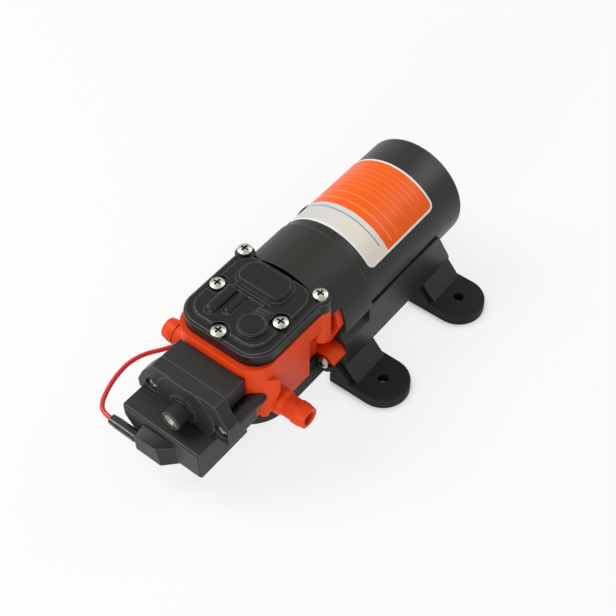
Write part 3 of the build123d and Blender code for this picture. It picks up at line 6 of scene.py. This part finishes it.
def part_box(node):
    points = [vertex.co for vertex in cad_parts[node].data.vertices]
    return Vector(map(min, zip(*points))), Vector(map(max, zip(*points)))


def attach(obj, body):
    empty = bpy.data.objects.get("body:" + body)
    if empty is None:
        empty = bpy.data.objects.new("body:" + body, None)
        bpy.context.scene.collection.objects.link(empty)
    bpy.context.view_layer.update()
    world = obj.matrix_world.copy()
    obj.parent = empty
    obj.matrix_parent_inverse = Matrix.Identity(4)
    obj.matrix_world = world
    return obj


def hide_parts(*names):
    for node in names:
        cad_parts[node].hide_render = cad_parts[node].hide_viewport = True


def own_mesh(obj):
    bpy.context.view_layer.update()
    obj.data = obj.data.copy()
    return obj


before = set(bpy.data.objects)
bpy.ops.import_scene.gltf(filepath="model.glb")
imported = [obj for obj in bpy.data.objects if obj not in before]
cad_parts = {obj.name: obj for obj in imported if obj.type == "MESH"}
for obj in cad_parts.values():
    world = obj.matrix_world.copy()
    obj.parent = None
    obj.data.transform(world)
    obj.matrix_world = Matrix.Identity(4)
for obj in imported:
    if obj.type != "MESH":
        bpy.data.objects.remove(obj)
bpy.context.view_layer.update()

# The motor can: a deep-drawn steel cup, sprayed with satin black lacquer.
# The spray leaves fine orange peel, and handling leaves a few pale specks of dust.
MM = 0.001
CAN_BLACK = (0.0075, 0.0070, 0.0065)
# The colour of the painted highlight along the can's edges
CAN_EDGE_HIGHLIGHT = (0.06, 0.06, 0.06)
DUST = (0.42, 0.40, 0.37)
DUST_SPECK = 0.45 * MM
SOFT_PATCH = 9 * MM
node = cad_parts


class Shade:
    """A socket of a material, on which the usual operators work."""

    def __init__(self, tree, socket):
        self.tree = tree
        self.socket = socket

    def node(self, kind, settings=None, sockets=None, out=0):
        made = self.tree.nodes.new("ShaderNode" + kind)
        for name, value in (settings or {}).items():
            setattr(made, name, value)
        for name, value in (sockets or {}).items():
            if isinstance(value, Shade):
                self.tree.links.new(value.socket, made.inputs[name])
            else:
                made.inputs[name].default_value = value
        return Shade(self.tree, made.outputs[out])

    def maths(self, operation, *values):
        return self.node("Math", {"operation": operation}, dict(enumerate(values)))

    def __add__(self, other):
        return self.maths("ADD", self, other)

    def __sub__(self, other):
        return self.maths("SUBTRACT", self, other)

    def __rsub__(self, other):
        return self.maths("SUBTRACT", other, self)

    def __mul__(self, other):
        return self.maths("MULTIPLY", self, other)

    def __lt__(self, other):
        return self.maths("LESS_THAN", self, other)

    def __abs__(self):
        return self.maths("ABSOLUTE", self)

    def least(self, cap):
        return self.maths("MINIMUM", self, cap)

    def most(self, floor):
        return self.maths("MAXIMUM", self, floor)

    __radd__ = __add__
    __rmul__ = __mul__

    def ramp(self, low, high):
        # Goes smoothly from 0 to 1 as this value goes from low to high
        return self.node("MapRange", {"interpolation_type": "SMOOTHSTEP"},
                         {"Value": self, "From Min": low, "From Max": high})

    def mix(self, under, over):
        # The colour goes from under to over as this value goes from 0 to 1 (6, 7 and 2 are the node's colour sockets)
        under, over = (c if isinstance(c, Shade) else (*c, 1) for c in (under, over))
        return self.node("Mix", {"data_type": "RGBA"}, {0: self, 6: under, 7: over}, out=2)

    def noise(self, grain, detail=2.0, rough=0.5):
        # Grain is the size of one cell in metres
        return self.node("TexNoise", {}, {"Vector": self, "Scale": 1 / grain, "Detail": detail, "Roughness": rough})


class Finish:
    """A material: one Principled surface, its place in metres and its rounded edges."""

    def __init__(self, name, colour, roughness, edge=0.35 * MM, **constants):
        self.material = bpy.data.materials.new(name)
        self.material.use_nodes = True
        self.tree = self.material.node_tree
        self.surface = self.tree.nodes["Principled BSDF"]
        self.surface.inputs["Base Color"].default_value = (*colour, 1)
        self.surface.inputs["Roughness"].default_value = roughness
        for socket, value in constants.items():
            self.surface.inputs[socket.replace("_", " ")].default_value = value
        start = Shade(self.tree, None)
        self.place = start.node("TexCoord", out="Object")
        self.round = start.node("Bevel", {"samples": 4}, {"Radius": edge})
        flat = start.node("NewGeometry", out="Normal")
        level = start.node("VectorMath", {"operation": "DOT_PRODUCT"}, {0: self.round, 1: flat}, out="Value")
        # 1 on an edge, where the rounded surface leans away from the flat one, and 0 on a face
        self.edge = (1 - level).ramp(0.004, 0.06)

    def open_to_air(self, reach):
        # 1 on an open face, less in a hollow or beside a wall nearer than this reach in metres
        return self.place.node("AmbientOcclusion", {"samples": 8}, {"Distance": reach}, out="AO")

    def feed(self, socket, value):
        self.tree.links.new(value.socket, self.surface.inputs[socket])

    def relief(self, height, depth):
        # Depth is the height of the relief in metres
        self.feed("Normal", self.place.node("Bump", {}, {"Height": height, "Distance": depth, "Strength": 1.0,
                                                         "Normal": self.round}))

    def put_on(self, *names):
        for name in names:
            slots = node[name].material_slots
            if not slots:
                node[name].data.materials.append(self.material)
            for slot in slots:
                slot.material = self.material


def moulded(name, colour, edge_highlight, roughness, grain, depth, edge=0.5 * MM, gloss=0.2, shade_reach=2.5 * MM):
    # A moulded or sprayed surface: fine grain, a painted highlight along the edges in its second colour, painted
    # shade in the hollows and a little dust
    made = Finish(name, colour, roughness, edge=edge, Specular_IOR_Level=gloss)
    fine = made.place.noise(grain, 3.0)
    broad = made.place.noise(SOFT_PATCH, 3.0, 0.6)
    dust = made.place.noise(DUST_SPECK, 1.0).ramp(0.72, 0.80) * broad.ramp(0.45, 0.62)
    # Painted shade: 1 in hollows and beside near walls, less on open faces
    hollow_shade = 1 - made.open_to_air(shade_reach).ramp(0.25, 0.95)
    base = (broad * 0.6).mix(colour, tuple(c * 1.3 for c in colour))
    # Painted highlight: the edges are lightened towards the second colour
    base = (made.edge * (0.5 + broad * 0.5)).mix(base, edge_highlight)
    base = (dust * 0.2).mix(base, DUST)
    # Painted shade darkens the colour in hollows and beside near walls
    base = (hollow_shade * 0.85).mix(base, tuple(c * c / (c + 0.25) for c in colour))
    made.feed("Base Color", base)
    made.feed("Roughness", roughness + broad * 0.12 + fine * 0.06 - made.edge * 0.08)
    made.relief(fine + dust * 0.6, depth)
    return made


lacquer = moulded("lacquer_black", CAN_BLACK, CAN_EDGE_HIGHLIGHT, 0.28, 0.55 * MM, 0.012 * MM, gloss=0.34)
lacquer.put_on("motor_can")

# The label: a printed polyester strip, wrapped over the top of the can and glued down.
# A white border frames a silver to cream band with one blue rule, and behind it an orange field with pale rules.
AXIS_Z = 36.0 * MM
LABEL_RADIUS = 24.45 * MM
LABEL_X0, LABEL_X1 = 21.2 * MM, 65.1 * MM
LABEL_HALF_ARC = 24.75 * MM
LABEL_BORDER = 1.0 * MM
LABEL_CORNER = 3.2 * MM
BAND_END = 33.6 * MM
SILVER = (0.60, 0.61, 0.62)
CREAM = (0.80, 0.74, 0.64)
SILVER_SIDE, CREAM_SIDE = -20 * MM, 16 * MM
LABEL_WHITE = (0.86, 0.85, 0.82)
LABEL_WHITE_DULL = (0.72, 0.72, 0.70)
LABEL_ORANGE = (0.90, 0.115, 0.006)
LABEL_ORANGE_PALE = (0.96, 0.14, 0.010)
RULE_ORANGE = (0.98, 0.30, 0.12)
RULE_BLUE = (0.10, 0.20, 0.42)
# Each pale rule, in millimetres: how far behind the band, half its width, how far it ends from the label's edge
RULES = ((3.9, 0.45, 3), (8.3, 0.30, 4), (12.8, 0.16, 9), (15.6, 0.16, 6), (18.4, 0.16, 11),
         (21.2, 0.16, 5), (24.0, 0.16, 8), (26.8, 0.16, 6))
BLUE_RULE_X, BLUE_RULE_HALF_W, BLUE_RULE_MARGIN = 30.9 * MM, 0.35 * MM, 5 * MM

print_film = Finish("label_print", LABEL_ORANGE, 0.33, edge=0.1 * MM, Specular_IOR_Level=0.22)
along, across, height = (print_film.place.node("SeparateXYZ", {}, {0: print_film.place}, out=axis)
                         for axis in range(3))
arc = across.maths("ARCTAN2", across, height - AXIS_Z) * LABEL_RADIUS


def inside_label(margin):
    # 1 inside a round-cornered frame that lies this far in from the label's edge
    radius = LABEL_CORNER - margin
    half_x = (LABEL_X1 - LABEL_X0) / 2 - margin - radius
    half_y = LABEL_HALF_ARC - margin - radius
    over_x = (abs(along - (LABEL_X0 + LABEL_X1) / 2) - half_x).most(0.0)
    over_y = (abs(arc) - half_y).most(0.0)
    return over_x * over_x + over_y * over_y < radius * radius


ink = print_film.place.noise(0.5 * MM, 3.0)
field = inside_label(LABEL_BORDER)
band = along < BAND_END
orange = (print_film.place.noise(6 * MM).ramp(0.3, 0.7) * 0.35).mix(LABEL_ORANGE, LABEL_ORANGE_PALE)
for offset, half_w, margin in RULES:
    rule = abs(along - (BAND_END + offset * MM)) < half_w * MM
    rule = rule * (abs(arc) < LABEL_HALF_ARC - margin * MM)
    orange = (rule * (0.35 + ink * 0.3)).mix(orange, RULE_ORANGE)
border = (ink * 0.25).mix(LABEL_WHITE, LABEL_WHITE_DULL)
pale = (arc * -1).ramp(SILVER_SIDE, CREAM_SIDE).mix(SILVER, CREAM)
thin_rule = (abs(along - BLUE_RULE_X) < BLUE_RULE_HALF_W) * (abs(arc) < LABEL_HALF_ARC - BLUE_RULE_MARGIN)
pale = (thin_rule * 0.7).mix(pale, RULE_BLUE)
inner = band.mix(orange, pale)
print_film.feed("Base Color", field.mix(border, inner))
print_film.feed("Roughness", 0.30 + ink * 0.12)
print_film.relief(ink, 0.004 * MM)
print_film.put_on("motor_label")

# The motor base: shroud, crown, trough and legs in one black nylon moulding.
# Its skin has a fine even grain and slightly polished edges, with a painted highlight along them.
base_plastic = moulded("base_plastic", (0.015, 0.0142, 0.012), (0.10, 0.097, 0.09), 0.36, 0.35 * MM, 0.02 * MM,
                       gloss=0.26)
base_plastic.put_on("motor_base")

# The rubber feet: four moulded blocks in black rubber, pushed into the hollow legs.
# Their skin is darker and duller than the plastic's, with a little dust on it.
feet = moulded("feet_rubber", (0.008, 0.008, 0.008), (0.035, 0.035, 0.035), 0.56, 0.5 * MM, 0.03 * MM, edge=0.6 * MM)
feet.put_on("rubber_feet")

# The crankcase: a black nylon tub under the head, below the eccentric and the rod.
# It has the same grain as the base, and a duller skin.
tub_plastic = moulded("tub_plastic", (0.018, 0.018, 0.018), (0.08, 0.08, 0.08), 0.50, 0.35 * MM, 0.02 * MM)
tub_plastic.put_on("crankcase")

# The pump body: flange, screw columns and hose barbs in one orange-red nylon moulding.
# Its colour varies in soft patches, and its grain is shallower than that of the black mouldings.
body_orange = moulded("head_orange", (0.70, 0.052, 0.004), (0.84, 0.11, 0.020), 0.36, 0.6 * MM, 0.010 * MM,
                      edge=0.5 * MM, shade_reach=5 * MM)
body_orange.put_on("pump_body")

# The top cover: black nylon, with the water ways moulded in it as a raised pad, ridges and a boss.
# It is held by five screws and has the finest grain of the mouldings.
cover_plastic = moulded("cover_plastic", (0.0085, 0.0085, 0.0087), (0.15, 0.15, 0.147), 0.24, 0.3 * MM, 0.014 * MM,
                        edge=0.6 * MM, gloss=0.22, shade_reach=3.5 * MM)
cover_plastic.put_on("top_cover")

# The pressure switch: a two-part black nylon case in front of the head.
# Its grain is as large as the base's, in a warmer and duller black than the cover's.
switch_plastic = moulded("switch_plastic", (0.018, 0.0175, 0.0165), (0.15, 0.146, 0.142), 0.32, 0.35 * MM, 0.022 * MM,
                         edge=0.6 * MM, gloss=0.24, shade_reach=3.5 * MM)
switch_plastic.put_on("switch_housing", "switch_base")

# The screws: cold-headed steel pan heads with a cross recess, zinc plated.
# The plate is bright and finely mottled on the crown, and painted shade makes it nearly black in the recess.
SCREW_EDGE = 0.25 * MM
SCREW_MOTTLE = 0.25 * MM
ZINC_GREY = (0.20, 0.19, 0.165)
ZINC_BRIGHT = (0.66, 0.64, 0.57)
RECESS_SHADE = (0.014, 0.013, 0.012)
zinc = Finish("zinc_plate", (0.52, 0.51, 0.49), 0.32, edge=SCREW_EDGE, Metallic=1.0)
speck = zinc.place.noise(SCREW_MOTTLE, 4.0)
plate = speck.ramp(0.38, 0.62).mix(ZINC_GREY, ZINC_BRIGHT)
# Painted shade: the cross recess is darkened nearly to black
zinc.feed("Base Color", zinc.open_to_air(1.5 * MM).ramp(0.45, 0.97).mix(RECESS_SHADE, plate))
zinc.feed("Roughness", 0.2 + speck * 0.22)
zinc.relief(speck, 0.01 * MM)
zinc.put_on("cover_screws", "flange_screws", "clamp_screw")

# The switch screws: longer ones of the same kind, sunk in the counterbores of the switch's ears.
# Their crowns catch the light down in the bores, so a painted highlight lightens their whole plate, and painted shade
# darkens the recess.
SUNK_LIT_GREY = (0.62, 0.61, 0.58)
SUNK_LIT_BRIGHT = (0.95, 0.94, 0.92)
SUNK_RECESS_SHADE = (0.03, 0.028, 0.026)
sunk = Finish("zinc_plate_painted_highlight", (0.8, 0.8, 0.78), 0.25, edge=SCREW_EDGE, Metallic=1.0)
fleck = sunk.place.noise(SCREW_MOTTLE, 4.0)
# Painted highlight: both mottle colours are lighter than the plain zinc's
sunk_lit_plate = fleck.ramp(0.38, 0.62).mix(SUNK_LIT_GREY, SUNK_LIT_BRIGHT)
# Painted shade: the cross recess is darkened
sunk.feed("Base Color", sunk.open_to_air(0.8 * MM).ramp(0.15, 0.55).mix(SUNK_RECESS_SHADE, sunk_lit_plate))
sunk.feed("Roughness", 0.22 + fleck * 0.2)
sunk.relief(fleck, 0.01 * MM)
sunk.put_on("switch_screws")

# The set screw in the switch's boss: turned brass, nickel plated, with a hexagon socket.
# Turning it sets the pressure at which the pump stops, so its face is rubbed bright.
NICKEL_WARM = (0.80, 0.78, 0.72)
NICKEL_BRIGHT = (0.96, 0.95, 0.92)
SOCKET_SHADE = (0.05, 0.045, 0.04)
nickel = Finish("nickel_plate", (0.78, 0.74, 0.64), 0.24, edge=0.2 * MM, Metallic=1.0)
rub = nickel.place.noise(0.3 * MM, 3.0)
bright = rub.mix(NICKEL_WARM, NICKEL_BRIGHT)
# Painted shade darkens the inside of the hexagon socket
nickel.feed("Base Color", nickel.open_to_air(1.2 * MM).ramp(0.1, 0.5).mix(SOCKET_SHADE, bright))
nickel.feed("Roughness", 0.16 + rub * 0.2)
nickel.relief(rub, 0.008 * MM)
nickel.put_on("adjusting_screw")

# The red lead: stranded copper in red PVC, from the switch to the motor.
# It springs out round the head in one loose bow and goes back to the can's far side.
LEAD_ROUTE = [
    (-79.7, 28.6, 18.0), (-79.7, 33.3, 18.0), (-76.6, 37.2, 17.6), (-70.4, 40.0, 17.8),
    (-63.2, 41.8, 18.1), (-55.8, 42.2, 18.4), (-48.6, 40.3, 18.2), (-41.8, 35.9, 17.6), (-33.6, 31.6, 17.4),
    (-23.6, 29.4, 19.0), (-12.6, 29.0, 22.4), (-2.0, 28.9, 26.8), (7.4, 28.6, 31.6),
    (16.4, 26.984, 35.058), (25.2, 26.984, 35.058),
]
LEAD_DIAMETER = 2.0 * MM
RED_DEEP = (0.56, 0.012, 0.020)
RED_PALE = (0.70, 0.024, 0.034)

curve = bpy.data.curves.new("lead", "CURVE")
curve.dimensions = "3D"
line = curve.splines.new("NURBS")
line.points.add(len(LEAD_ROUTE) - 1)
for point, place in zip(line.points, LEAD_ROUTE):
    point.co = (*(c * MM for c in place), 1)
line.order_u = 3
line.use_endpoint_u = True
line.resolution_u = 12
curve.bevel_depth = LEAD_DIAMETER / 2
curve.bevel_resolution = 5
curve.use_fill_caps = True
lead = bpy.data.objects.new("lead", curve)
bpy.context.scene.collection.objects.link(lead)

pvc = Finish("lead_pvc", (0.62, 0.016, 0.026), 0.34)
soft = pvc.place.noise(1.5 * MM)
pvc.feed("Base Color", soft.mix(RED_DEEP, RED_PALE))
pvc.feed("Roughness", 0.28 + soft * 0.14)
pvc.relief(soft, 0.02 * MM)
curve.materials.append(pvc.material)
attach(lead, "pump")
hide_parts("red_lead")

# The spade sleeve and the lead's boot on the can: soft glossy black PVC, dipped or shrunk on.
# Both are smooth, so they shine more than the other plastics and rubbers.
gloss = Finish("sleeve_gloss", (0.012, 0.012, 0.013), 0.16, edge=0.4 * MM)
dimple = gloss.place.noise(1.2 * MM)
gloss.feed("Roughness", 0.08 + dimple * 0.10)
gloss.relief(dimple, 0.05 * MM)
gloss.put_on("spade_sleeve", "lead_outlet")

# The switch spring: a coil of spring steel wire between the set screw and the plunger.
# Its end turns lie close to the next ones. The real spring gets shorter as the water pushes the plunger forward, but
# here it is built at one length.
spring_low, spring_high = (Vector(corner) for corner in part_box("switch_spring"))
WIRE_R = 0.45 * MM
ACTIVE_TURNS = 5
TURN_STEPS = 20
WIRE_SIDES = 8
WIRE_DARK = (0.40, 0.40, 0.41)
WIRE_PALE = (0.60, 0.60, 0.61)
coil_r = (spring_high.z - spring_low.z) / 2 - WIRE_R
middle = (spring_low + spring_high) / 2
length = spring_high.x - spring_low.x
pitch = (length - 6 * WIRE_R) / ACTIVE_TURNS
rings, faces = [], []
for step in range((ACTIVE_TURNS + 2) * TURN_STEPS + 1):
    turn = step / TURN_STEPS
    run = min(turn, 1) * 2 * WIRE_R + min(max(turn - 1, 0), ACTIVE_TURNS) * pitch
    run += max(turn - 1 - ACTIVE_TURNS, 0) * 2 * WIRE_R
    angle = 2 * math.pi * turn
    outward = Vector((0, math.cos(angle), math.sin(angle)))
    centre = Vector((spring_low.x + WIRE_R + run, middle.y, middle.z)) + outward * coil_r
    for side in range(WIRE_SIDES):
        lean = 2 * math.pi * side / WIRE_SIDES
        rings.append(centre + outward * math.cos(lean) * WIRE_R + Vector((math.sin(lean) * WIRE_R, 0, 0)))
last = len(rings) - WIRE_SIDES
for start_at in range(0, last, WIRE_SIDES):
    for side in range(WIRE_SIDES):
        after = (side + 1) % WIRE_SIDES
        faces.append((start_at + side, start_at + after, start_at + WIRE_SIDES + after, start_at + WIRE_SIDES + side))
faces += [tuple(range(WIRE_SIDES))[::-1], tuple(range(last, last + WIRE_SIDES))]
coil_mesh = bpy.data.meshes.new("coil_spring")
coil_mesh.from_pydata(rings, [], faces)
coil_mesh.shade_smooth()
coil = bpy.data.objects.new("coil_spring", coil_mesh)
bpy.context.scene.collection.objects.link(coil)
wire = Finish("spring_wire", (0.50, 0.50, 0.51), 0.3, edge=0.1 * MM, Metallic=1.0)
drawn = wire.place.noise(0.2 * MM, 3.0)
wire.feed("Base Color", drawn.mix(WIRE_DARK, WIRE_PALE))
wire.feed("Roughness", 0.24 + drawn * 0.14)
wire.relief(drawn, 0.005 * MM)
coil_mesh.materials.append(wire.material)
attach(coil, "pump")
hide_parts("switch_spring")
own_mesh(coil)

# The inside of the pump: rubber, nylon, metal, ferrite and carbon pieces that the housings hide.
# Each group has the plain finish of its stock, with the grain that making it leaves.
# Each row: name, colour, roughness, metallic, size of the grain in millimetres, pieces
INNER = [
    ("inner_rubber", (0.022, 0.022, 0.022), 0.6, 0.0, 0.5, ("diaphragm", "inlet_valve", "outlet_valve", "cover_seal",
                                                            "switch_film")),
    ("inner_nylon", (0.68, 0.65, 0.57), 0.45, 0.0, 0.8, ("connecting_rod", "clamp_disc", "valve_plate",
                                                         "switch_plunger", "microswitch", "microswitch_button",
                                                         "brush_card")),
    ("ground_steel", (0.56, 0.56, 0.56), 0.28, 1.0, 0.3, ("rod_bearing", "motor_end_plate",
                                                          "front_bearing", "motor_shaft", "brush_springs",
                                                          "eccentric")),
    ("core_plates", (0.30, 0.30, 0.31), 0.45, 1.0, 0.5, ("armature_core",)),
    ("ferrite", (0.07, 0.07, 0.075), 0.5, 0.0, 0.4, ("magnets",)),
    ("copper", (0.72, 0.30, 0.14), 0.3, 1.0, 0.3, ("armature_winding", "commutator")),
    ("brass_strip", (0.74, 0.55, 0.22), 0.3, 1.0, 0.4, ("switch_terminals",)),
    ("carbon", (0.03, 0.03, 0.03), 0.55, 0.0, 0.3, ("brushes",)),
    ("bronze", (0.48, 0.31, 0.14), 0.45, 1.0, 0.3, ("rear_bush",)),
]
for name, colour, roughness, metal, grain, names in INNER:
    stock = Finish(name, colour, roughness, Metallic=metal)
    cloud = stock.place.noise(grain * MM, 3.0)
    stock.feed("Base Color", cloud.mix(tuple(c * 0.82 for c in colour), tuple(c * 1.12 for c in colour)))
    stock.feed("Roughness", roughness - 0.06 + cloud * 0.14)
    stock.relief(cloud, 0.01 * MM)
    stock.put_on(*names)

# Every solid piece: its round faces are smooth and its real corners stay sharp.
# The corners are split where two faces meet at more than this angle.
CORNER = math.radians(32)
for piece in node.values():
    piece.data.shade_smooth()
    crease = piece.modifiers.new("crease", "EDGE_SPLIT")
    crease.split_angle = CORNER

# The studio: a pale floor that runs back without an edge, and the air round it.
# The camera sees them nearly white, while the lamps light them plainly.
FLOOR_HALF = 3.0
FLOOR_COLOUR = (0.82, 0.82, 0.82, 1)
SOFTBOX_SIZE = (0.5, 0.4)
PUMP_MIDDLE = (0, 0, 0.03)
MOTOR_MIDDLE = (0.03, 0, 0.03)
CONTACT_REACH = 6 * MM
# The floor's share of plain white: near the pump, and the distances in metres over which it grows to all of it
GLOW_NEAR = 0.8
GLOW_FROM, GLOW_TO = 0.25, 1.2
AIR_LIGHT = 0.30
floor_mesh = bpy.data.meshes.new("floor")
floor_mesh.from_pydata([(-FLOOR_HALF, -FLOOR_HALF, 0), (FLOOR_HALF, -FLOOR_HALF, 0),
                        (FLOOR_HALF, FLOOR_HALF, 0), (-FLOOR_HALF, FLOOR_HALF, 0)], [], [(0, 1, 2, 3)])
floor = bpy.data.objects.new("floor", floor_mesh)
bpy.context.scene.collection.objects.link(floor)
paper = bpy.data.materials.new("floor_paper")
paper.use_nodes = True
tree = paper.node_tree
tree.nodes["Principled BSDF"].inputs["Base Color"].default_value = FLOOR_COLOUR
tree.nodes["Principled BSDF"].inputs["Roughness"].default_value = 0.9
start = Shade(tree, None)
glow = start.node("Emission", {}, {"Color": (1, 1, 1, 1), "Strength": 1.0})


def looked_at(tree):
    # 1 for what the camera sees, also in a reflection or through glass
    rays = [Shade(tree, None).node("LightPath", out="Is %s Ray" % kind)
            for kind in ("Camera", "Glossy", "Transmission")]
    return sum(rays[1:], rays[0]).least(1.0)


reach = start.node("VectorMath", {"operation": "LENGTH"}, {0: start.node("TexCoord", out="Object")}, out="Value")
contact = start.node("AmbientOcclusion", {"samples": 8}, {"Distance": CONTACT_REACH}, out="AO")
spread = GLOW_NEAR + reach.ramp(GLOW_FROM, GLOW_TO) * (1 - GLOW_NEAR)
lifted = looked_at(tree) * spread * contact.ramp(0.30, 0.85)
matt = Shade(tree, tree.nodes["Principled BSDF"].outputs[0])
paper_mix = start.node("MixShader", {}, {0: lifted, 1: matt, 2: glow})
tree.links.new(paper_mix.socket, tree.nodes["Material Output"].inputs["Surface"])
floor_mesh.materials.append(paper)

world = bpy.data.worlds.new("studio")
world.use_nodes = True
bpy.context.scene.world = world
air = world.node_tree
air.nodes["Background"].inputs["Color"].default_value = (1.0, 1.0, 0.99, 1)
strength = looked_at(air) * (1 - AIR_LIGHT) + AIR_LIGHT
air.links.new(strength.socket, air.nodes["Background"].inputs["Strength"])


def softbox(name, place, aim, watts, colour):
    light = bpy.data.lights.new(name, "AREA")
    light.shape = "RECTANGLE"
    light.size, light.size_y = SOFTBOX_SIZE
    light.energy = watts
    light.color = colour
    lamp = bpy.data.objects.new(name, light)
    bpy.context.scene.collection.objects.link(lamp)
    lamp.location = place
    lamp.rotation_euler = (Vector(aim) - Vector(place)).to_track_quat("-Z", "Y").to_euler()


softbox("key", (-0.25, 0.55, 0.75), PUMP_MIDDLE, 5.6, (1.0, 0.99, 0.97))
softbox("fill", (-0.75, -0.25, 0.32), PUMP_MIDDLE, 3.4, (1.0, 0.99, 0.98))
softbox("rim", (0.65, -0.25, 0.55), MOTOR_MIDDLE, 1.8, (1.0, 1.0, 1.0))

# The camera: where the photograph's was, found from the screws, rims and edges of the pump.
# Its lens is long, so the pump's lines run nearly parallel.
CAMERA_AT = Vector((-236.595, -199.019, 403.827)) * MM
CAMERA_LOOK = Vector((0.494112, 0.403402, -0.770143))
CAMERA_RIGHT = Vector((0.621270, -0.783508, -0.011805))
CAMERA_UP = Vector((0.608175, 0.472634, 0.637762))
IMAGE_SIZE = 616
FOCAL_PIXELS = 1200
lens = bpy.data.cameras.new("camera")
lens.sensor_width = 36.0
lens.lens = FOCAL_PIXELS * lens.sensor_width / IMAGE_SIZE
lens.clip_start = 0.01
lens.clip_end = 20.0
camera = bpy.data.objects.new("camera", lens)
bpy.context.scene.collection.objects.link(camera)
facing = Matrix((CAMERA_RIGHT, CAMERA_UP, -CAMERA_LOOK)).transposed().to_4x4()
camera.matrix_world = Matrix.Translation(CAMERA_AT) @ facing
bpy.context.scene.camera = camera
bpy.context.scene.view_settings.view_transform = "Standard"
